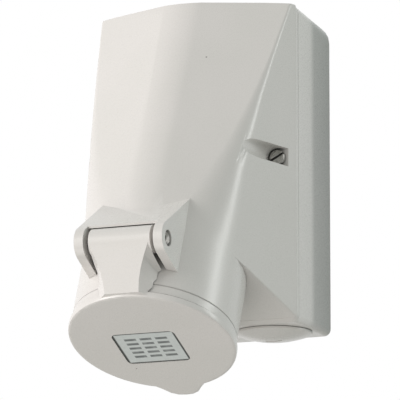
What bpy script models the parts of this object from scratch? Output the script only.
"""Angled industrial wall socket with a sprung lid, modelled in metres with +Z up.

The origin is the middle of the flat wall face, which is the plane Y = 0, and the front looks
along -Y. Everything on the socket's own axis is described in the socket frame: X as in the
world, "back" across the mouth towards the wall, and "up" along the axis from the lid's outer
face into the housing.
"""
import math

import bmesh
import bpy
from mathutils import Matrix

MM = 0.001

# Box and cover
WIDTH = 108 * MM
HEIGHT = 166 * MM
BOX_DEPTH = 46 * MM
WALL = 3.2 * MM
WALL_CORNER = 10.5 * MM
PARTING_CORNER = 3.5 * MM
RIM_DEPTH = 3.2 * MM
RIM_STEP = 0.1 * MM
UNDERSIDE_CROWN = 0.1 * MM
SEAL_WIDTH = 1.6 * MM
SEAL_DEPTH = 1.3 * MM
ROUNDING = 1.0 * MM
PARTING_ROUNDING = 0.4 * MM

# Socket axis and barrel
SOCKET_TILT = math.radians(23)
SOCKET_REACH = 66.2 * MM
LID_DROP = 18.3 * MM
BARREL_RADIUS = 42 * MM
UNDERSIDE_LIP = 1.8 * MM
LIP_RUN = 2.2 * MM

# Front of the cover
TOP_APEX = 36 * MM
FLANK_ANGLE = math.radians(21.5)
TOP_FILLET = 2.2 * MM
FILLET_FALL = 2.2

# Collar and contact insert
COLLAR_BAND = 5 * MM
COLLAR_SPIGOT = 8 * MM
COLLAR_SLEEVE = 3.1 * MM
SHROUD_SPACE = 5.3 * MM
COLLAR_WALL = 5 * MM
MOUTH_DEPTH = 34 * MM
INSERT_RECESS = 2 * MM
INSERT_FLANGE = 4 * MM
TERMINAL_BLOCK = 17.7 * MM
KEYWAY_WIDTH = 8 * MM
KEYWAY_DEPTH = 1.8 * MM
KEYWAY_LENGTH = 22 * MM

# Contacts
CONTACT_INSET = 10.7 * MM
CONTACT_END = 2 * MM
PIN_RADIUS = 3 * MM
EARTH_PIN_RADIUS = 4 * MM
SLEEVE_WALL = 1.2 * MM
SLEEVE_RECESS = 3.5 * MM
SLEEVE_BORE_DEPTH = 30 * MM
WIRE_BORE_DEPTH = 11 * MM
TERMINAL_SCREW_RADIUS = 1.9 * MM
TERMINAL_SCREW_LENGTH = 8 * MM
INSERT_SCREW_RADIUS = 1.5 * MM
INSERT_SCREW_LENGTH = 6 * MM

# Lid, arm and hinge
LID_OVERHANG = 1 * MM
LID_THICKNESS = 3.2 * MM
LID_EDGE = 1.2 * MM
TAB_REACH = 7.2 * MM
TAB_HALF_WIDTH = 13 * MM
HINGE_REACH = 9.5 * MM
HINGE_UP = 27.5 * MM
HINGE_PIN_RADIUS = 2.5 * MM
KNUCKLE_RADIUS = 7.2 * MM
ARM_HALF_WIDTH = 16.6 * MM
ARM_THICKNESS = 2.2 * MM
ARM_ANGLE = math.radians(31)
ARM_TIP_HALF_WIDTH = 9.2 * MM
ARM_FOOT_HALF_WIDTH = 17.4 * MM
ARM_FLANK_DROP = 6.9 * MM
ARM_FLANK_RUN = 4.2 * MM
GASKET_WIDTH = 6 * MM
GASKET_THICKNESS = 1.5 * MM
LABEL_HALF_WIDTH = 17.1 * MM
LABEL_HALF_LENGTH = 13.8 * MM
LABEL_CORNER = 3 * MM
LABEL_THICKNESS = 0.5 * MM
LABEL_OFFSET_X = -2.3 * MM
LABEL_OFFSET_BACK = 4.3 * MM

# Hood over the hinge
EAR_THICKNESS = 4.9 * MM
EAR_GAP = 2.3 * MM
HOOD_CLEARANCE = 0.5 * MM
HOOD_THICKNESS = 2.2 * MM
HOOD_LIP_ANGLE = math.radians(55)
HOOD_RISE = 35.1 * MM
EAR_DROP = 9.4 * MM
PIN_RECESS_RADIUS = 4.2 * MM
PIN_RECESS_DEPTH = 2.2 * MM

# Return spring
SPRING_WIRE = 0.6 * MM
SPRING_HALF_WIDTH = 6.5 * MM
SPRING_TURNS = 6
SPRING_LEG = 10 * MM

# Cover screws
SCREW_HEAD_RADIUS = 4.2 * MM
SCREW_HEAD_HEIGHT = 2.6 * MM
SCREW_SHANK_RADIUS = 2.4 * MM
SCREW_LENGTH = 26 * MM
SCREW_SLOT_WIDTH = 1.2 * MM
SCREW_SLOT_DEPTH = 1.2 * MM
SCREW_LEVEL = 0.9 * MM
SCREW_INSET = 7.2 * MM
SCREW_SEAT_AHEAD = 10 * MM
CHANNEL_RADIUS = 4.7 * MM
BOSS_WALL = 2.4 * MM
POST_WALL = 1.9 * MM

# Cable entries and their blanking plugs
ENTRY_INSET = 23 * MM
ENTRY_RADIUS = 16.1 * MM
PLUG_FLANGE_RADIUS = 20 * MM
PLUG_FLANGE_THICKNESS = 1 * MM
PLUG_DOME_HEIGHT = 3.8 * MM
PLUG_SEAL_WIDTH = 2.6 * MM
PLUG_STEM_LENGTH = 11 * MM
PLUG_WALL = 2.4 * MM
PLUG_NUT_THICKNESS = 4 * MM
PLUG_SLOT_WIDTH = 1.8 * MM
PLUG_SLOT_LENGTH = 9 * MM

# Wall fixing holes
FIXING_SIDE_INSET = 16 * MM
FIXING_END_INSET = 23 * MM
FIXING_HOLE_RADIUS = 2.8 * MM
FIXING_BOSS_RADIUS = 6.5 * MM
FIXING_BOSS_HEIGHT = 3 * MM

# Clearance between pieces that touch, and fineness of the round forms
FIT = 0.3 * MM
CUT = 2 * MM
CREST_STEPS = 6
FILLET_STEPS = 7
CHEEK_STEPS = 7
BACK_STEPS = 9
LOFT_LEVELS = 7

# Places that follow from the sizes above
HALF_WIDTH = WIDTH / 2
HALF_HEIGHT = HEIGHT / 2
COVER_BACK = -BOX_DEPTH - FIT
RIM_FRONT = COVER_BACK - RIM_DEPTH
LID_Y = -BOX_DEPTH - SOCKET_REACH
LID_Z = -HALF_HEIGHT - LID_DROP
COS_TILT = math.cos(SOCKET_TILT)
SIN_TILT = math.sin(SOCKET_TILT)
COLLAR_START = LID_THICKNESS + FIT + 0.1 * MM
BARREL_START = COLLAR_START + COLLAR_BAND
UNDERSIDE = (RIM_FRONT - LID_Y) * SIN_TILT + (LID_DROP + UNDERSIDE_LIP) * COS_TILT
TOP_LEVEL = HEIGHT + LID_DROP
LOFT_END = TOP_LEVEL + SOCKET_REACH / 4
CHEEK_BACK = HALF_WIDTH - RIM_STEP
CHEEK_RUN = RIM_FRONT - LID_Y - UNDERSIDE * SIN_TILT
CHEEK_ROOT = (CHEEK_RUN ** 2 - (BARREL_RADIUS * COS_TILT) ** 2) * (CHEEK_BACK ** 2 - BARREL_RADIUS ** 2)
CHEEK_TAPER = (CHEEK_BACK ** 2 - BARREL_RADIUS ** 2) / (
    CHEEK_BACK * CHEEK_RUN + math.sqrt((CHEEK_BACK * CHEEK_RUN) ** 2 - CHEEK_ROOT))
CHEEK_SLOPE = CHEEK_TAPER * COS_TILT
CHEEK_STRETCH = math.sqrt(1 + CHEEK_SLOPE ** 2)
BORE_RADIUS = BARREL_RADIUS - WALL - FIT
MOUTH_RADIUS = BORE_RADIUS - COLLAR_WALL
INSERT_RADIUS = MOUTH_RADIUS - SHROUD_SPACE
CONTACT_CIRCLE = INSERT_RADIUS - CONTACT_INSET
MOUTH_FLOOR = COLLAR_START + MOUTH_DEPTH
INSERT_FRONT = COLLAR_START + INSERT_RECESS
LID_RADIUS = BARREL_RADIUS + LID_OVERHANG
HINGE_BACK = -BARREL_RADIUS - HINGE_REACH
EAR_INNER = ARM_HALF_WIDTH + EAR_GAP
EAR_OUTER = EAR_INNER + EAR_THICKNESS
EAR_RADIUS = KNUCKLE_RADIUS + 2 * HOOD_CLEARANCE + FIT
SPRING_RADIUS = HINGE_PIN_RADIUS + 2 * FIT + SPRING_WIRE * 1.4
LEDGE_WIDTH = BORE_RADIUS - (MOUTH_RADIUS + COLLAR_SLEEVE + FIT)
FLANGE_FRONT = MOUTH_FLOOR + WALL + FIT
BLOCK_START = FLANGE_FRONT + INSERT_FLANGE + FIT
BLOCK_END = BLOCK_START + TERMINAL_BLOCK
SLEEVE_START = INSERT_FRONT + SLEEVE_RECESS
SLEEVE_END = BLOCK_END - CONTACT_END
SCREW_AXIS = BLOCK_END - TERMINAL_BLOCK / 2
SEAL_MIDDLE = (MOUTH_RADIUS + BARREL_RADIUS) / 2
GASKET_SEAT = COLLAR_START - 2 * FIT - GASKET_THICKNESS
PLUG_SEAL_OUTER = ENTRY_RADIUS + PLUG_SEAL_WIDTH
SCREW_X = HALF_WIDTH - SCREW_INSET
SCREW_SEAT = COVER_BACK - SCREW_SEAT_AHEAD
ENTRY_X = HALF_WIDTH - ENTRY_INSET
ENTRY_Y = -BOX_DEPTH / 2
SOCKET_FRAME = Matrix.Translation((0, LID_Y, LID_Z)) @ Matrix(
    ((1, 0, 0, 0), (0, COS_TILT, SIN_TILT, 0), (0, -SIN_TILT, COS_TILT, 0), (0, 0, 0, 1)))


# Materials

def material(name, colour, roughness, metallic=0.0):
    """Return a Principled material, made once and shared by the pieces that use it."""
    found = bpy.data.materials.get(name)
    if found:
        return found
    made = bpy.data.materials.new(name)
    made.use_nodes = True
    shader = made.node_tree.nodes["Principled BSDF"]
    shader.inputs["Base Color"].default_value = (*colour, 1)
    shader.inputs["Roughness"].default_value = roughness
    shader.inputs["Metallic"].default_value = metallic
    return made


def housing_plastic():
    return material("housing_plastic", (0.74, 0.72, 0.70), 0.42)


def contact_plastic():
    return material("contact_plastic", (0.12, 0.12, 0.13), 0.5)


def sealing_rubber():
    return material("sealing_rubber", (0.03, 0.03, 0.03), 0.8)


def bright_steel():
    return material("bright_steel", (0.62, 0.61, 0.58), 0.3, 1.0)


def contact_brass():
    return material("contact_brass", (0.75, 0.6, 0.32), 0.3, 1.0)


def label_metal():
    return material("label_metal", (0.48, 0.5, 0.5), 0.4, 0.6)


# Mesh tools

def piece(name, bm, finish, frame=None):
    """Turn a bmesh into a named object, smooth shaded with its sharp edges kept."""
    bmesh.ops.remove_doubles(bm, verts=bm.verts, dist=0.002 * MM)
    bmesh.ops.recalc_face_normals(bm, faces=bm.faces)
    mesh = bpy.data.meshes.new(name)
    bm.to_mesh(mesh)
    bm.free()
    made = bpy.data.objects.new(name, mesh)
    bpy.context.scene.collection.objects.link(made)
    if finish:
        mesh.materials.append(finish)
    if frame:
        made.matrix_world = frame
    bpy.context.view_layer.update()
    shade(made)
    return made


def shade(made):
    made.data.shade_smooth()
    made.data.set_sharp_from_angle(angle=math.radians(32))


def apply_modifier(made, modifier):
    bpy.context.view_layer.objects.active = made
    bpy.ops.object.modifier_apply(modifier=modifier.name)


def combine(body, tool, operation):
    """Join a tool to a body, or cut the body with it, and remove the tool."""
    modifier = body.modifiers.new("combine", "BOOLEAN")
    modifier.operation = operation
    modifier.object = tool
    modifier.solver = "EXACT"
    apply_modifier(body, modifier)
    bpy.data.objects.remove(tool, do_unlink=True)
    shade(body)


def lofted(rings):
    """Skin closed rings that have the same number of points, and cap both ends."""
    bm = bmesh.new()
    loops = [[bm.verts.new(point) for point in ring] for ring in rings]
    for low, high in zip(loops, loops[1:]):
        for i, corner in enumerate(low):
            j = (i + 1) % len(low)
            bm.faces.new((corner, low[j], high[j], high[i]))
    bm.faces.new(loops[0])
    bm.faces.new(loops[-1])
    return bm


def turned(profile, steps=48, phase=0.0):
    """Turn a closed outline of (radius, height) points about the local Z axis.

    The phase turns the first corner, as a share of one step, so that it clears a cross bore.
    """
    bm = bmesh.new()
    on_axis = {i: bm.verts.new((0, 0, height)) for i, (radius, height) in enumerate(profile)
               if radius == 0}
    columns = []
    for step in range(steps):
        angle = 2 * math.pi * (step + phase) / steps
        columns.append([on_axis.get(i) or bm.verts.new(
            (radius * math.cos(angle), radius * math.sin(angle), height))
            for i, (radius, height) in enumerate(profile)])
    for step, near in enumerate(columns):
        far = columns[(step + 1) % steps]
        for i in range(len(profile)):
            j = (i + 1) % len(profile)
            corners = list(dict.fromkeys((near[i], near[j], far[j], far[i])))
            if len(corners) > 2:
                bm.faces.new(corners)
    return bm


def prism(outline, start, end, axis="X"):
    """Extrude an outline between two places along X, Y or Z of its frame."""
    place = {"X": lambda p, at: (at, p[0], p[1]), "Y": lambda p, at: (p[0], at, p[1]),
             "Z": lambda p, at: (p[0], p[1], at)}[axis]
    return lofted([[place(point, at) for point in outline] for at in (start, end)])


def block(low, high):
    corners = [(low[0], low[1]), (high[0], low[1]), (high[0], high[1]), (low[0], high[1])]
    return prism(corners, low[2], high[2], "Z")


def rod(radius, start, end, steps=32, phase=0.0):
    return turned([(0, start), (radius, start), (radius, end), (0, end)], steps, phase)


def moved(bm, frame):
    bmesh.ops.transform(bm, matrix=frame, verts=bm.verts)
    return bm


def along_y(x, z):
    """A frame whose local Z runs along the world's Y through (x, z)."""
    return Matrix.Translation((x, 0, z)) @ Matrix.Rotation(-math.pi / 2, 4, "X")


def arc(centre, radius, start, end, steps):
    """Points on a circle, where an angle of zero lies along the first axis."""
    return [(centre[0] + radius * math.cos(start + (end - start) * i / steps),
             centre[1] + radius * math.sin(start + (end - start) * i / steps))
            for i in range(steps + 1)]


def rounded_rectangle(half_width, bottom, top, low_corner, top_corner, steps=5):
    right = math.pi / 2
    outline = arc((half_width - top_corner, top - top_corner), top_corner, 0, right, steps)
    outline += arc((top_corner - half_width, top - top_corner), top_corner, right, 2 * right, steps)
    outline += arc((low_corner - half_width, bottom + low_corner), low_corner,
                   2 * right, 3 * right, steps)
    outline += arc((half_width - low_corner, bottom + low_corner), low_corner,
                   3 * right, 4 * right, steps)
    return outline


def hull(points):
    """Convex outline round a set of points, for a profile held between tangent lines."""
    ordered = sorted(set(points))

    def half(source):
        chain = []
        for point in source:
            while len(chain) > 1 and turn(chain[-2], chain[-1], point) <= 0:
                chain.pop()
            chain.append(point)
        return chain[:-1]

    return half(ordered) + half(reversed(ordered))


def turn(a, b, c):
    return (b[0] - a[0]) * (c[1] - a[1]) - (b[1] - a[1]) * (c[0] - a[0])


# Back box

def box_outline(inset, top_corner, lift=0.0):
    """The box from the front. Its underside stands out a little between the entries.

    The flat field there is a face of its own, clear of the flanges beside it.
    """
    bottom = inset + lift - HALF_HEIGHT
    outline = rounded_rectangle(HALF_WIDTH - inset, bottom, HALF_HEIGHT - inset,
                                max(PARTING_CORNER - inset, FIT), max(top_corner - inset, FIT))
    field = ENTRY_X - PLUG_FLANGE_RADIUS - FIT
    left = len(outline) * 3 // 4
    low = bottom - UNDERSIDE_CROWN
    return outline[:left] + [(-field, low), (field, low)] + outline[left:]


def box_ring(inset, depth):
    """The outline at a depth, its top corners growing rounder towards the wall."""
    share = (depth + BOX_DEPTH) / BOX_DEPTH
    corner = PARTING_CORNER + (WALL_CORNER - PARTING_CORNER) * share
    return [(x, depth, z) for x, z in box_outline(inset, corner)]


def box_form(inset, front, back):
    return lofted([box_ring(inset, front), box_ring(inset, back)])


def rounding_steps(radius):
    """Pairs of inset and run that lead round a quarter circle, from the edge inwards."""
    return [(radius * (1 - math.sin(angle)), radius * (1 - math.cos(angle)))
            for angle in (math.pi / 2 * i / 3 for i in range(4))]


def back_box():
    rings = [box_ring(inset, run - BOX_DEPTH) for inset, run in rounding_steps(PARTING_ROUNDING)]
    outside = lofted(rings + [box_ring(0, -ROUNDING / 2), box_ring(ROUNDING / 2, 0)])
    box = piece("back_box", outside, housing_plastic())
    combine(box, piece("hollow", box_form(WALL, -BOX_DEPTH - CUT, -WALL), None), "DIFFERENCE")
    for side in (-1, 1):
        post = rod(SCREW_SHANK_RADIUS + FIT + POST_WALL, FIT - BOX_DEPTH, -WALL / 2, 20)
        combine(box, piece("post", moved(post, along_y(side * SCREW_X, SCREW_LEVEL)), None), "UNION")
        bore = rod(SCREW_SHANK_RADIUS + FIT, -BOX_DEPTH - CUT, -WALL - CUT, 16)
        combine(box, piece("bore", moved(bore, along_y(side * SCREW_X, SCREW_LEVEL)), None),
                "DIFFERENCE")
        entry = moved(rod(ENTRY_RADIUS, -HALF_HEIGHT - CUT, CUT + WALL - HALF_HEIGHT, 36),
                      Matrix.Translation((side * ENTRY_X, ENTRY_Y, 0)))
        combine(box, piece("entry", entry, None), "DIFFERENCE")
        for end in (-1, 1):
            fixing_hole(box, side * (HALF_WIDTH - FIXING_SIDE_INSET),
                        end * (HALF_HEIGHT - FIXING_END_INSET))
    seal_groove(box)
    return box


def fixing_hole(box, x, z):
    place = along_y(x, z)
    boss = rod(FIXING_BOSS_RADIUS, -WALL - FIXING_BOSS_HEIGHT, -WALL / 2, 20)
    combine(box, piece("boss", moved(boss, place), None), "UNION")
    hole = rod(FIXING_HOLE_RADIUS, -WALL - FIXING_BOSS_HEIGHT - CUT, CUT, 16)
    combine(box, piece("hole", moved(hole, place), None), "DIFFERENCE")


def ring_of_rim(outer_inset, inner_inset, front, back):
    """A thin frame that follows the parting outline."""
    ring = piece("ring", box_form(outer_inset, front, back), None)
    inner = box_form(inner_inset, front - CUT, back + CUT)
    combine(ring, piece("inner", inner, None), "DIFFERENCE")
    return ring


def seal_groove(box):
    margin = (WALL - SEAL_WIDTH) / 2
    groove = ring_of_rim(margin, margin + SEAL_WIDTH, -BOX_DEPTH - CUT, SEAL_DEPTH - BOX_DEPTH)
    combine(box, groove, "DIFFERENCE")


def cover_gasket():
    margin = (WALL - SEAL_WIDTH) / 2 + FIT
    gasket = ring_of_rim(margin, WALL - margin, -BOX_DEPTH, SEAL_DEPTH - BOX_DEPTH - FIT)
    gasket.name = "cover_gasket"
    gasket.data.materials.append(sealing_rubber())
    return gasket


# Cover

def cheek_half_width(up):
    """Half width of the tapering cheeks beside the socket axis. They touch the barrel below."""
    return CHEEK_BACK - (RIM_FRONT - LID_Y - up * SIN_TILT) * CHEEK_TAPER


def between(low, high, up):
    return low + (high - low) * (up - UNDERSIDE) / (TOP_LEVEL - UNDERSIDE)


def front_section(up, inset):
    """Outline of the cover across the socket axis: a round crest, flat flanks, fillets, cheeks.

    The crest keeps the barrel's radius. The fillets have it too at the underside, where the
    outline is the barrel's own circle, and shrink towards the top.
    """
    crest = BARREL_RADIUS - inset
    centre = BARREL_RADIUS - between(BARREL_RADIUS, TOP_APEX, up)
    left_over = max(between(1, 0, up), 0.0) ** FILLET_FALL
    fillet = max(TOP_FILLET + (BARREL_RADIUS - TOP_FILLET) * left_over - inset, TOP_FILLET / 4)
    start = cheek_half_width(up) - (inset + fillet) * CHEEK_STRETCH
    sine = math.sin(FLANK_ANGLE)
    cosine = math.cos(FLANK_ANGLE)
    back = (crest - fillet - start * sine - centre * cosine) / (CHEEK_SLOPE * sine - cosine)
    side = start + CHEEK_SLOPE * back
    level = math.atan2(1, CHEEK_SLOPE)
    right = [(side + fillet * math.sin(angle), back - fillet * math.cos(angle))
             for angle in (level + (FLANK_ANGLE - level) * i / FILLET_STEPS
                           for i in range(FILLET_STEPS + 1))]
    front = [(crest * math.sin(angle), centre - crest * math.cos(angle))
             for angle in (FLANK_ANGLE * (1 - 2 * i / CREST_STEPS)
                           for i in range(1, CREST_STEPS))]
    left = [(-x, b) for x, b in reversed(right)]
    end = (COVER_BACK + CUT + WALL - LID_Y - up * SIN_TILT) / COS_TILT
    shares = [(i / CHEEK_STEPS) ** 1.5 for i in range(CHEEK_STEPS, 0, -1)]
    cheek = [(right[0][0] + CHEEK_SLOPE * run, right[0][1] + run)
             for run in ((end - right[0][1]) * share for share in shares)]
    corner = cheek[0][0]
    behind = [(corner * (2 * i / BACK_STEPS - 1), end) for i in range(1, BACK_STEPS)]
    return cheek + right + front + left + [(-x, b) for x, b in reversed(cheek)] + behind


def round_section(up, radius, inset):
    """A circle about the socket axis, its points facing those of the first front section."""
    outline = front_section(UNDERSIDE + inset, inset)
    return [(x * radius / math.hypot(x, b), b * radius / math.hypot(x, b), up) for x, b in outline]


def cover_skin(inset, barrel):
    """Loft the barrel's circles and then the cover's sections, as one closed skin."""
    rings = [round_section(up, radius, inset) for radius, up in barrel]
    first = UNDERSIDE + inset
    for i in range(LOFT_LEVELS + 1):
        up = first + (LOFT_END - first) * i / LOFT_LEVELS
        rings.append([(x, b, up) for x, b in front_section(up, inset)])
    bm = lofted(rings)
    bmesh.ops.remove_doubles(bm, verts=bm.verts, dist=0.06 * MM)
    return moved(bm, SOCKET_FRAME)


def cut_plane(bm, point, normal):
    """Cut away what lies beyond a plane and close the solid there."""
    cut = bmesh.ops.bisect_plane(bm, geom=bm.verts[:] + bm.edges[:] + bm.faces[:],
                                 plane_co=point, plane_no=normal, clear_outer=True)
    edges = [item for item in cut["geom_cut"] if isinstance(item, bmesh.types.BMEdge)]
    bmesh.ops.edgeloop_fill(bm, edges=edges)


def cover_outside():
    bevel = ROUNDING / 2
    skin = cover_skin(0, [(BARREL_RADIUS - bevel, BARREL_START),
                          (BARREL_RADIUS, BARREL_START + bevel), (BARREL_RADIUS, UNDERSIDE)])
    cut_plane(skin, (0, RIM_FRONT + 2 * RIM_STEP, 0), (0, 1, 0))
    cover = piece("cover", skin, housing_plastic())
    reach = prism(rounded_rectangle(WIDTH, LID_Z - WIDTH, HALF_HEIGHT - RIM_STEP,
                                    PARTING_CORNER, PARTING_CORNER),
                  2 * LID_Y, RIM_FRONT + CUT, "Y")
    combine(cover, piece("reach", reach, None), "INTERSECT")
    round_outer_edges(cover)
    rings = [[(x, COVER_BACK - run, z) for x, z in box_outline(inset, PARTING_CORNER)]
             for inset, run in rounding_steps(PARTING_ROUNDING)]
    lift = UNDERSIDE_LIP - 2 * RIM_STEP
    rings += [[(x, RIM_FRONT + LIP_RUN, z) for x, z in box_outline(0, PARTING_CORNER)],
              [(x, RIM_FRONT, z) for x, z in box_outline(RIM_STEP / 2, PARTING_CORNER, lift)]]
    combine(cover, piece("rim", lofted(rings), None), "UNION")
    return cover


def round_outer_edges(made):
    """Round the convex edges, except on the hidden back and where the cover meets the barrel."""
    bm = bmesh.new()
    bm.from_mesh(made.data)
    bmesh.ops.remove_doubles(bm, verts=bm.verts, dist=0.002 * MM)
    bmesh.ops.dissolve_degenerate(bm, edges=bm.edges, dist=0.002 * MM)
    into_socket = SOCKET_FRAME.inverted()

    def clear(vert):
        place = into_socket @ vert.co
        return math.hypot(place.x, place.y) > BARREL_RADIUS + ROUNDING

    chosen = [edge for edge in bm.edges if edge.is_convex and len(edge.link_faces) == 2
              and edge.calc_face_angle() > math.radians(50)
              and all(clear(vert) for vert in edge.verts)
              and min(vert.co.y for vert in edge.verts) < RIM_FRONT]
    bmesh.ops.bevel(bm, geom=chosen, offset=ROUNDING, segments=3, profile=0.5, affect="EDGES",
                    clamp_overlap=True)
    bm.to_mesh(made.data)
    bm.free()
    shade(made)


def cover_inside():
    """The room inside the cover, with a ledge in the barrel for the collar's spigot."""
    ledge = BARREL_START + COLLAR_SPIGOT + FIT
    skin = cover_skin(WALL, [(BORE_RADIUS, BARREL_START - CUT), (BORE_RADIUS, ledge),
                             (BORE_RADIUS - LEDGE_WIDTH, ledge),
                             (BORE_RADIUS - LEDGE_WIDTH, ledge + WALL),
                             (BORE_RADIUS, ledge + WALL), (BORE_RADIUS, UNDERSIDE + WALL)])
    cut_plane(skin, (0, 0, HALF_HEIGHT - WALL - RIM_STEP), (0, 0, 1))
    cut_plane(skin, (0, RIM_FRONT + RIM_STEP, 0), (0, 1, 0))
    room = piece("room", skin, None)
    mouth = prism(box_outline(WALL, PARTING_CORNER), RIM_FRONT - FIT, COVER_BACK + CUT, "Y")
    combine(room, piece("mouth", mouth, None), "UNION")
    for side in (-1, 1):
        boss = prism(channel_outline(side, CHANNEL_RADIUS + BOSS_WALL), 2 * LID_Y,
                     COVER_BACK + FIT, "Y")
        combine(room, piece("boss", boss, None), "DIFFERENCE")
    return room


def channel_outline(side, radius):
    """A half circle on the inner side of a cover screw, drawn out straight past the cheek."""
    beyond = HALF_WIDTH + CUT
    inner = arc((SCREW_X, SCREW_LEVEL), radius, math.pi / 2, 3 * math.pi / 2, 14)
    outline = inner + [(beyond, SCREW_LEVEL - radius), (beyond, SCREW_LEVEL + radius)]
    return [(side * x, z) for x, z in outline]


def hood_profile():
    """Side outline of an ear: two tangent lines from the barrel round the hinge pin."""
    wall_at = -math.sqrt(BARREL_RADIUS ** 2 - EAR_OUTER ** 2)
    root = wall_at + WALL
    top = (wall_at, HINGE_UP + HOOD_RISE)
    low = (wall_at, HINGE_UP - EAR_DROP)
    boss = arc((HINGE_BACK, HINGE_UP), EAR_RADIUS, 0, 2 * math.pi, 32)
    return hull(boss + [top, low, (root, top[1] + WALL / 2), (root, low[1] + WALL / 4)])


def roof_profile():
    """Side outline of the roof between the ears, hollowed round the lid's knuckle."""
    top = (-math.sqrt(BARREL_RADIUS ** 2 - EAR_OUTER ** 2), HINGE_UP + HOOD_RISE)
    away = (top[0] - HINGE_BACK, top[1] - HINGE_UP)
    reach = math.hypot(*away)
    lean = math.atan2(away[1], away[0]) + math.acos(EAR_RADIUS / reach)
    normal = (math.cos(lean), math.sin(lean))
    along = (normal[1], -normal[0])
    foot = (HINGE_BACK + EAR_RADIUS * normal[0], HINGE_UP + EAR_RADIUS * normal[1])
    lip_run = EAR_RADIUS * math.tan(HOOD_LIP_ANGLE - (math.pi - lean))
    lip = (foot[0] + along[0] * lip_run, foot[1] + along[1] * lip_run)
    clear = KNUCKLE_RADIUS + HOOD_CLEARANCE
    under = EAR_RADIUS - HOOD_THICKNESS
    bend = lean - math.acos(under / clear)
    hollow = arc((HINGE_BACK, HINGE_UP), clear, math.pi - HOOD_LIP_ANGLE, bend, 8)
    root = math.sqrt(BARREL_RADIUS ** 2 - EAR_OUTER ** 2) - WALL / 2
    run = 2 * HOOD_RISE
    far = (foot[0] + along[0] * run, foot[1] + along[1] * run)
    below = (far[0] - normal[0] * HOOD_THICKNESS, far[1] - normal[1] * HOOD_THICKNESS)
    return [far, lip] + hollow + [below], -root


def hinge_hood(cover):
    for side in (-1, 1):
        ear = prism(hood_profile(), side * EAR_INNER, side * EAR_OUTER)
        combine(cover, piece("ear", moved(ear, SOCKET_FRAME), None), "UNION")
    outline, root = roof_profile()
    roof = piece("roof", moved(prism(outline, -EAR_INNER - FIT, EAR_INNER + FIT), SOCKET_FRAME),
                 None)
    keep = block((-EAR_OUTER, 2 * HINGE_BACK, 0), (EAR_OUTER, root, TOP_LEVEL))
    combine(roof, piece("keep", moved(keep, SOCKET_FRAME), None), "INTERSECT")
    combine(cover, roof, "UNION")


def pin_holes(cover):
    place = SOCKET_FRAME @ Matrix.Translation((0, HINGE_BACK, HINGE_UP)) @ Matrix.Rotation(
        math.pi / 2, 4, "Y")
    hole = rod(HINGE_PIN_RADIUS + FIT, -EAR_OUTER - CUT, EAR_OUTER + CUT, 24)
    combine(cover, piece("hole", moved(hole, place), None), "DIFFERENCE")
    for side in (-1, 1):
        recess = rod(PIN_RECESS_RADIUS, side * (EAR_OUTER - PIN_RECESS_DEPTH),
                     side * (EAR_OUTER + CUT), 32)
        combine(cover, piece("recess", moved(recess, place), None), "DIFFERENCE")


def cover():
    shell = cover_outside()
    hinge_hood(shell)
    combine(shell, cover_inside(), "DIFFERENCE")
    pin_holes(shell)
    for side in (-1, 1):
        channel = prism(channel_outline(side, CHANNEL_RADIUS), 2 * LID_Y, SCREW_SEAT, "Y")
        combine(shell, piece("channel", channel, None), "DIFFERENCE")
        place = along_y(side * SCREW_X, SCREW_LEVEL)
        hole = rod(SCREW_SHANK_RADIUS + FIT, SCREW_SEAT - CUT, COVER_BACK + CUT, 20)
        combine(shell, piece("hole", moved(hole, place), None), "DIFFERENCE")
    return shell


def cover_screw(name, side):
    """A slotted cheese-head screw, turned in one piece, whose head rests in its channel."""
    head_back = SCREW_SEAT - FIT
    head_front = head_back - SCREW_HEAD_HEIGHT
    end = head_back + SCREW_LENGTH
    edge = SCREW_HEAD_RADIUS / 10
    profile = [(0, head_front), (SCREW_HEAD_RADIUS - edge, head_front),
               (SCREW_HEAD_RADIUS, head_front + edge), (SCREW_HEAD_RADIUS, head_back),
               (SCREW_SHANK_RADIUS, head_back), (SCREW_SHANK_RADIUS, end - SCREW_SHANK_RADIUS),
               (SCREW_SHANK_RADIUS / 2, end), (0, end)]
    place = along_y(side * SCREW_X, SCREW_LEVEL)
    screw = piece(name, moved(turned(profile, 28), place), bright_steel())
    slot = block((-SCREW_HEAD_RADIUS - CUT, -SCREW_SLOT_WIDTH / 2, head_front - CUT),
                 (SCREW_HEAD_RADIUS + CUT, SCREW_SLOT_WIDTH / 2, head_front + SCREW_SLOT_DEPTH))
    turned_by = Matrix.Rotation(math.radians(-28), 4, "Z")
    combine(screw, piece("slot", moved(slot, place @ turned_by), None), "DIFFERENCE")
    return screw


# Collar and contact insert

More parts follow.
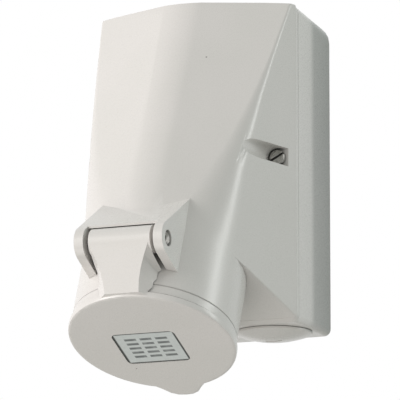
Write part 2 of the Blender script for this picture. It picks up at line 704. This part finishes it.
def socket_collar():
    sleeve = MOUTH_RADIUS + COLLAR_SLEEVE
    spigot = BORE_RADIUS - FIT
    edge = ROUNDING / 2
    step = BARREL_START - FIT
    profile = [(MOUTH_RADIUS, COLLAR_START + edge), (MOUTH_RADIUS + edge, COLLAR_START),
               (BARREL_RADIUS - edge, COLLAR_START), (BARREL_RADIUS, COLLAR_START + edge),
               (BARREL_RADIUS, step), (spigot, step),
               (spigot, BARREL_START + COLLAR_SPIGOT), (sleeve, BARREL_START + COLLAR_SPIGOT),
               (sleeve, MOUTH_FLOOR + WALL), (INSERT_RADIUS + FIT, MOUTH_FLOOR + WALL),
               (INSERT_RADIUS + FIT, MOUTH_FLOOR), (MOUTH_RADIUS, MOUTH_FLOOR)]
    collar = piece("socket_collar", turned(profile, 48), housing_plastic(), SOCKET_FRAME)
    key = block((-KEYWAY_WIDTH / 2, MOUTH_RADIUS - CUT, COLLAR_START - CUT),
                (KEYWAY_WIDTH / 2, MOUTH_RADIUS + KEYWAY_DEPTH, COLLAR_START + KEYWAY_LENGTH))
    combine(collar, piece("key", moved(key, SOCKET_FRAME), None), "DIFFERENCE")
    for place in insert_screw_places():
        hole = rod(INSERT_SCREW_RADIUS + FIT, MOUTH_FLOOR - CUT, MOUTH_FLOOR + WALL + CUT, 12)
        combine(collar, piece("hole", moved(hole, place), None), "DIFFERENCE")
    return collar


def insert_screw_places():
    middle = (MOUTH_RADIUS + INSERT_RADIUS) / 2
    return [SOCKET_FRAME @ Matrix.Translation((side * middle, 0, 0)) for side in (-1, 1)]


def contact_places():
    """The five contacts round the circle, the wider earth contact nearest the wall."""
    names = ("earth", "line_1", "line_2", "line_3", "neutral")
    places = []
    for i, name in enumerate(names):
        angle = math.pi / 2 + 2 * math.pi * i / len(names)
        radius = EARTH_PIN_RADIUS if name == "earth" else PIN_RADIUS
        spin = Matrix.Rotation(angle, 4, "Z")
        places.append((name, SOCKET_FRAME @ spin @ Matrix.Translation((CONTACT_CIRCLE, 0, 0)),
                       radius))
    return places


def contact_insert():
    """The moulded disc in the mouth, with five stepped bores and a flange behind the collar."""
    end = FLANGE_FRONT + INSERT_FLANGE
    profile = [(0, INSERT_FRONT), (INSERT_RADIUS - ROUNDING, INSERT_FRONT),
               (INSERT_RADIUS, INSERT_FRONT + ROUNDING), (INSERT_RADIUS, FLANGE_FRONT),
               (MOUTH_RADIUS, FLANGE_FRONT), (MOUTH_RADIUS, end), (0, end)]
    insert = piece("contact_insert", turned(profile, 40), contact_plastic(), SOCKET_FRAME)
    for _, place, pin in contact_places():
        lead = pin + 2 * FIT
        outer = sleeve_bore(pin)
        bore = turned([(0, INSERT_FRONT - CUT), (lead, INSERT_FRONT - CUT),
                       (lead, SLEEVE_START - FIT), (outer, SLEEVE_START - FIT),
                       (outer, end + CUT), (0, end + CUT)], 16)
        combine(insert, piece("bore", moved(bore, place), None), "DIFFERENCE")
    for place in insert_screw_places():
        hole = rod(INSERT_SCREW_RADIUS + FIT, FLANGE_FRONT - CUT, end + CUT, 12)
        combine(insert, piece("hole", moved(hole, place), None), "DIFFERENCE")
    return insert


def sleeve_bore(pin):
    return pin + FIT / 3 + SLEEVE_WALL + FIT


def terminal_block():
    """The block behind the insert, bored for the contacts and open to their terminal screws."""
    tail = INSERT_RADIUS - WALL / 2
    block_body = piece("terminal_block", rod(tail, BLOCK_START, BLOCK_END, 40), contact_plastic(),
                       SOCKET_FRAME)
    for _, place, pin in contact_places():
        bore = rod(sleeve_bore(pin), BLOCK_START - CUT, BLOCK_END + CUT, 16, 0.5)
        combine(block_body, piece("bore", moved(bore, place), None), "DIFFERENCE")
        access = rod(TERMINAL_SCREW_RADIUS + FIT, 0, INSERT_RADIUS, 12)
        combine(block_body, piece("access", moved(access, place @ outward(SCREW_AXIS)), None),
                "DIFFERENCE")
    return block_body


def outward(up):
    """A frame whose local Z points away from the socket axis at a level along it."""
    return Matrix.Translation((0, 0, up)) @ Matrix.Rotation(math.pi / 2, 4, "Y")


def contact_sleeve(name, place, pin):
    """A turned contact: an open sleeve for the pin, and a terminal with its screw hole."""
    inner = pin + FIT / 3
    outer = inner + SLEEVE_WALL
    wire = SLEEVE_END - WIRE_BORE_DEPTH
    profile = [(0, SLEEVE_START + SLEEVE_BORE_DEPTH), (inner, SLEEVE_START + SLEEVE_BORE_DEPTH),
               (inner, SLEEVE_START + SLEEVE_WALL / 2), (inner + SLEEVE_WALL / 2, SLEEVE_START),
               (outer, SLEEVE_START), (outer, SLEEVE_END), (inner, SLEEVE_END), (inner, wire),
               (0, wire)]
    sleeve = piece("contact_" + name, moved(turned(profile, 20, 0.5), place), contact_brass())
    hole = rod(TERMINAL_SCREW_RADIUS + FIT, 0, 2 * outer, 12)
    combine(sleeve, piece("hole", moved(hole, place @ outward(SCREW_AXIS)), None), "DIFFERENCE")
    return sleeve


def cut_slot(screw, frame, radius, top):
    """Cut a screwdriver slot across the outer end of a small screw."""
    slot = block((-2 * radius, -radius / 5, top - radius / 2), (2 * radius, radius / 5, top + CUT))
    combine(screw, piece("slot", moved(slot, frame), None), "DIFFERENCE")


def terminal_screw(name, place, pin):
    start = -pin / 2
    end = start + TERMINAL_SCREW_LENGTH
    frame = place @ outward(SCREW_AXIS)
    screw = piece("terminal_screw_" + name, moved(rod(TERMINAL_SCREW_RADIUS, start, end, 16), frame),
                  bright_steel())
    cut_slot(screw, frame, TERMINAL_SCREW_RADIUS, end)


def insert_screw(name, place):
    """A small screw that holds the insert's flange to the collar's floor."""
    back = FLANGE_FRONT + INSERT_FLANGE + FIT
    head = 2 * INSERT_SCREW_RADIUS
    profile = [(0, back - INSERT_FLANGE - INSERT_SCREW_LENGTH / 2),
               (INSERT_SCREW_RADIUS, back - INSERT_FLANGE - INSERT_SCREW_LENGTH / 2),
               (INSERT_SCREW_RADIUS, back), (head - FIT, back), (head - FIT, back + head / 2),
               (0, back + head / 2)]
    screw = piece(name, moved(turned(profile, 16), place), bright_steel())
    cut_slot(screw, place, INSERT_SCREW_RADIUS, back + head / 2)


# Lid, seal and label

def lid_outline(inset):
    """The round lid with its lifting tab, which swells out of the edge nearest the wall."""
    points = []
    steps = 80
    for i in range(steps):
        angle = 2 * math.pi * i / steps
        x = math.sin(angle)
        swell = max(0.0, 1 - abs(x * LID_RADIUS / TAB_HALF_WIDTH) ** 3) ** 2
        radius = LID_RADIUS - inset + (TAB_REACH * swell if math.cos(angle) > 0 else 0)
        points.append((radius * x, radius * math.cos(angle)))
    return points


def lid_plate():
    edges = [(LID_EDGE, 0), (LID_EDGE / 4, LID_EDGE / 4), (0, LID_EDGE),
             (0, LID_THICKNESS)]
    return lofted([[(x, b, up) for x, b in lid_outline(inset)] for inset, up in edges])


def arm_front(up):
    """Where the arm's flat front lies at a level: on a plane that touches the knuckle."""
    near = HINGE_BACK - (KNUCKLE_RADIUS - FIT / 2) / math.cos(ARM_ANGLE)
    return near + (HINGE_UP - up) * math.tan(ARM_ANGLE)


def arm_section(up, wall):
    """Outline of the arm at a level: a flat front, flanks that lean back, and an open rear.

    The front narrows towards the lid. The flanks start below the knuckle and soon reach the
    barrel. With a wall, the outline is that of the hollow behind the front.
    """
    top = HINGE_UP - KNUCKLE_RADIUS * math.sin(ARM_ANGLE)
    share = min(max((top - up) / (top - LID_EDGE), 0.0), 1.0)
    knuckle = ARM_HALF_WIDTH - FIT
    tip = knuckle - (knuckle - ARM_TIP_HALF_WIDTH) * math.sin(share * math.pi / 2) - wall
    flank = min(max((HINGE_UP - ARM_FLANK_DROP - up) / ARM_FLANK_RUN, 0.0), 1.0) ** 1.5
    foot = knuckle + (ARM_FOOT_HALF_WIDTH - knuckle) * flank - wall
    thin = arm_front(up) + ARM_THICKNESS + FIT
    rear = thin + (2 * WALL - BARREL_RADIUS - thin) * flank
    front = arm_front(up) + wall / math.cos(ARM_ANGLE)
    if wall:
        rear += 2 * ARM_THICKNESS
    return [(tip, front, up), (-tip, front, up), (-foot, rear, up), (foot, rear, up)]


def arm_solid():
    """The faceted arm between the knuckle and the lid's front edge, hollow from behind."""
    first = HINGE_UP - KNUCKLE_RADIUS * math.sin(ARM_ANGLE) + 2 * FIT
    flank = HINGE_UP - ARM_FLANK_DROP
    levels = [first] + [flank - ARM_FLANK_RUN * i / 4 for i in range(5)]
    last = LID_EDGE + FIT
    levels += [levels[-1] + (last - levels[-1]) * i / 3 for i in (1, 2, 3)]
    arm = piece("arm", moved(lofted([arm_section(up, 0) for up in levels]), SOCKET_FRAME), None)
    inner = [up for up in levels[1:] if up > LID_THICKNESS + ARM_THICKNESS]
    inner.append(LID_THICKNESS + FIT)
    hollow = lofted([arm_section(up, ARM_THICKNESS) for up in inner])
    combine(arm, piece("hollow", moved(hollow, SOCKET_FRAME), None), "DIFFERENCE")
    passing = rod(BARREL_RADIUS + 2 * FIT, LID_THICKNESS - FIT, UNDERSIDE, 60)
    combine(arm, piece("passing", moved(passing, SOCKET_FRAME), None), "DIFFERENCE")
    return arm


def lid():
    lid_body = piece("lid", moved(lid_plate(), SOCKET_FRAME), housing_plastic())
    combine(lid_body, arm_solid(), "UNION")
    hinge = hinge_frame()
    knuckle = rod(KNUCKLE_RADIUS, -ARM_HALF_WIDTH, ARM_HALF_WIDTH, 40)
    combine(lid_body, piece("knuckle", moved(knuckle, hinge), None), "UNION")
    spring_pocket(lid_body)
    hole = rod(HINGE_PIN_RADIUS + FIT, -ARM_HALF_WIDTH - CUT, ARM_HALF_WIDTH + CUT, 24)
    combine(lid_body, piece("hole", moved(hole, hinge), None), "DIFFERENCE")
    groove = turned([(SEAL_MIDDLE - GASKET_WIDTH / 2, GASKET_SEAT),
                     (SEAL_MIDDLE + GASKET_WIDTH / 2, GASKET_SEAT),
                     (SEAL_MIDDLE + GASKET_WIDTH / 2, LID_THICKNESS + CUT),
                     (SEAL_MIDDLE - GASKET_WIDTH / 2, LID_THICKNESS + CUT)], 48)
    combine(lid_body, piece("groove", moved(groove, SOCKET_FRAME), None), "DIFFERENCE")
    recess = prism(label_outline(0), -CUT, LABEL_THICKNESS + 1.5 * FIT, "Z")
    combine(lid_body, piece("recess", moved(recess, SOCKET_FRAME), None), "DIFFERENCE")
    hang_on_hinge(lid_body)
    return lid_body


def hinge_frame():
    """A frame on the hinge pin whose local Z runs along the pin."""
    return SOCKET_FRAME @ Matrix.Translation((0, HINGE_BACK, HINGE_UP)) @ Matrix.Rotation(
        math.pi / 2, 4, "Y")


def hang_on_hinge(made):
    """Put a piece's origin on the hinge axis without moving its form."""
    pivot = hinge_frame().translation
    made.data.transform(Matrix.Translation(-pivot) @ made.matrix_world)
    made.matrix_world = Matrix.Translation(pivot)


def spring_pocket(lid_body):
    """Hollow the knuckle for the spring and its leg, and open it towards the barrel."""
    room = SPRING_RADIUS + SPRING_WIRE + FIT
    half = SPRING_HALF_WIDTH + 2 * SPRING_WIRE + FIT
    front = arc((HINGE_BACK, HINGE_UP), room, math.pi / 2, math.pi + ARM_ANGLE, 12)
    drop = 2 * KNUCKLE_RADIUS
    low = (front[-1][0] + drop * math.sin(ARM_ANGLE), front[-1][1] - drop * math.cos(ARM_ANGLE))
    back = HINGE_BACK + 2 * room
    outline = front + [low, (back, low[1]), (back, HINGE_UP + room)]
    pocket = prism(outline, -half, half)
    combine(lid_body, piece("pocket", moved(pocket, SOCKET_FRAME), None), "DIFFERENCE")


def lid_gasket():
    low = SEAL_MIDDLE - GASKET_WIDTH / 2 + FIT
    high = SEAL_MIDDLE + GASKET_WIDTH / 2 - FIT
    top = GASKET_SEAT + FIT + GASKET_THICKNESS
    gasket = turned([(low, GASKET_SEAT + FIT), (high, GASKET_SEAT + FIT),
                     (high, top - 2 * FIT), (high - FIT, top - FIT),
                     (low + FIT, top - FIT), (low, top - 2 * FIT)], 48)
    made = piece("lid_gasket", moved(gasket, SOCKET_FRAME), sealing_rubber())
    hang_on_hinge(made)


def label_outline(inset):
    outline = rounded_rectangle(LABEL_HALF_WIDTH - inset, inset - LABEL_HALF_LENGTH,
                                LABEL_HALF_LENGTH - inset, LABEL_CORNER, LABEL_CORNER)
    return [(x + LABEL_OFFSET_X, b + LABEL_OFFSET_BACK) for x, b in outline]


def label_plate():
    plate = prism(label_outline(FIT), LABEL_THICKNESS / 2, LABEL_THICKNESS * 1.5, "Z")
    made = piece("label_plate", moved(plate, SOCKET_FRAME), label_metal())
    hang_on_hinge(made)


def hinge_pin():
    """A tubular rivet through both ears, its flared ends sunk in their recesses."""
    half = EAR_OUTER - PIN_RECESS_DEPTH / 4
    bore = HINGE_PIN_RADIUS * 0.6
    flare = HINGE_PIN_RADIUS * 1.35
    lip = PIN_RECESS_DEPTH / 2
    right = [(0, half - 4 * lip), (bore, half - 4 * lip), (bore, half - lip),
             (flare - bore / 3, half), (flare, half - lip / 3), (flare, half - lip),
             (HINGE_PIN_RADIUS, half - lip - FIT / 2)]
    left = [(radius, -height) for radius, height in reversed(right)]
    piece("hinge_pin", moved(turned(right + left, 24), hinge_frame()), bright_steel())


def lid_spring():
    """A torsion spring: turns round the pin, one leg on the arm and one towards the barrel."""
    first = math.pi + ARM_ANGLE
    sweep = first - math.pi / 2 + 2 * math.pi * SPRING_TURNS
    steps = 10 * SPRING_TURNS
    coil = []
    for i in range(steps + 1):
        angle = first - sweep * i / steps
        coil.append((SPRING_HALF_WIDTH * (2 * i / steps - 1), SPRING_RADIUS * math.cos(angle),
                     SPRING_RADIUS * math.sin(angle)))
    leg = (coil[0][0], coil[0][1] + SPRING_LEG * math.sin(ARM_ANGLE),
           coil[0][2] - SPRING_LEG * math.cos(ARM_ANGLE))
    tip = (coil[-1][0], coil[-1][1] + 2 * SPRING_RADIUS, coil[-1][2])
    wire_curve("lid_spring", [leg] + coil + [tip])


def wire_curve(name, points):
    curve = bpy.data.curves.new(name, "CURVE")
    curve.dimensions = "3D"
    curve.bevel_depth = SPRING_WIRE
    curve.bevel_resolution = 1
    curve.use_fill_caps = True
    spline = curve.splines.new("POLY")
    spline.points.add(len(points) - 1)
    for node, point in zip(spline.points, points):
        node.co = (*point, 1)
    curve.materials.append(bright_steel())
    made = bpy.data.objects.new(name, curve)
    bpy.context.scene.collection.objects.link(made)
    made.matrix_world = SOCKET_FRAME @ Matrix.Translation((0, HINGE_BACK, HINGE_UP))


# Blanking plugs

def blank_plug(name, x):
    """A threaded plug with a shallow domed head and a coin slot, screwed up into an entry."""
    top = -HALF_HEIGHT - FIT
    low = top - PLUG_FLANGE_THICKNESS
    floor = low - PLUG_DOME_HEIGHT
    stem = ENTRY_RADIUS - FIT
    inner = stem - PLUG_WALL
    dome = [(PLUG_FLANGE_RADIUS * i / 5, floor + PLUG_DOME_HEIGHT * (i / 5) ** 2)
            for i in range(6)]
    profile = dome + [
        (PLUG_FLANGE_RADIUS, top), (PLUG_SEAL_OUTER, top), (PLUG_SEAL_OUTER, top - SEAL_DEPTH / 2),
        (stem + FIT, top - SEAL_DEPTH / 2), (stem + FIT, top), (stem, top + FIT),
        (stem, top + PLUG_STEM_LENGTH), (inner, top + PLUG_STEM_LENGTH), (inner, low), (0, low)]
    place = Matrix.Translation((x, ENTRY_Y, 0))
    plug = piece(name, moved(turned(profile, 30), place), housing_plastic())
    slot = block((-PLUG_SLOT_LENGTH / 2, -PLUG_SLOT_WIDTH / 2, floor - CUT),
                 (PLUG_SLOT_LENGTH / 2, PLUG_SLOT_WIDTH / 2, floor + PLUG_SLOT_WIDTH / 2))
    combine(plug, piece("slot", moved(slot, place), None), "DIFFERENCE")


def plug_seal(name, x):
    top = -HALF_HEIGHT - FIT
    inner = ENTRY_RADIUS + FIT
    outer = PLUG_SEAL_OUTER - FIT
    ring = turned([(inner, top - SEAL_DEPTH / 2 + FIT), (outer, top - SEAL_DEPTH / 2 + FIT),
                   (outer, top), (inner, top)], 36)
    piece(name, moved(ring, Matrix.Translation((x, ENTRY_Y, 0))), sealing_rubber())


def plug_nut(name, x):
    """A twelve-sided lock nut inside the box, with the plug's stem through it."""
    low = WALL - HALF_HEIGHT + FIT
    across = ENTRY_INSET - WALL - 2 * FIT
    corners = arc((0, 0), across, 0, 2 * math.pi, 12)[:-1]
    place = Matrix.Translation((x, ENTRY_Y, 0))
    nut = piece(name, moved(prism(corners, low, low + PLUG_NUT_THICKNESS, "Z"), place),
                housing_plastic())
    bore = rod(ENTRY_RADIUS, low - CUT, low + PLUG_NUT_THICKNESS + CUT, 36)
    combine(nut, piece("bore", moved(bore, place), None), "DIFFERENCE")


# Assembly

def clear_scene():
    for old in list(bpy.data.objects):
        bpy.data.objects.remove(old, do_unlink=True)


def build():
    clear_scene()
    back_box()
    cover_gasket()
    cover()
    socket_collar()
    contact_insert()
    terminal_block()
    for name, place, pin in contact_places():
        contact_sleeve(name, place, pin)
        terminal_screw(name, place, pin)
    for side, place in zip(("left", "right"), insert_screw_places()):
        insert_screw("insert_screw_" + side, place)
    for side, name in ((-1, "left"), (1, "right")):
        cover_screw("cover_screw_" + name, side)
        blank_plug("blank_plug_" + name, side * ENTRY_X)
        plug_seal("plug_seal_" + name, side * ENTRY_X)
        plug_nut("plug_nut_" + name, side * ENTRY_X)
    hinge_pin()
    lid_spring()
    lid()
    lid_gasket()
    label_plate()


build()
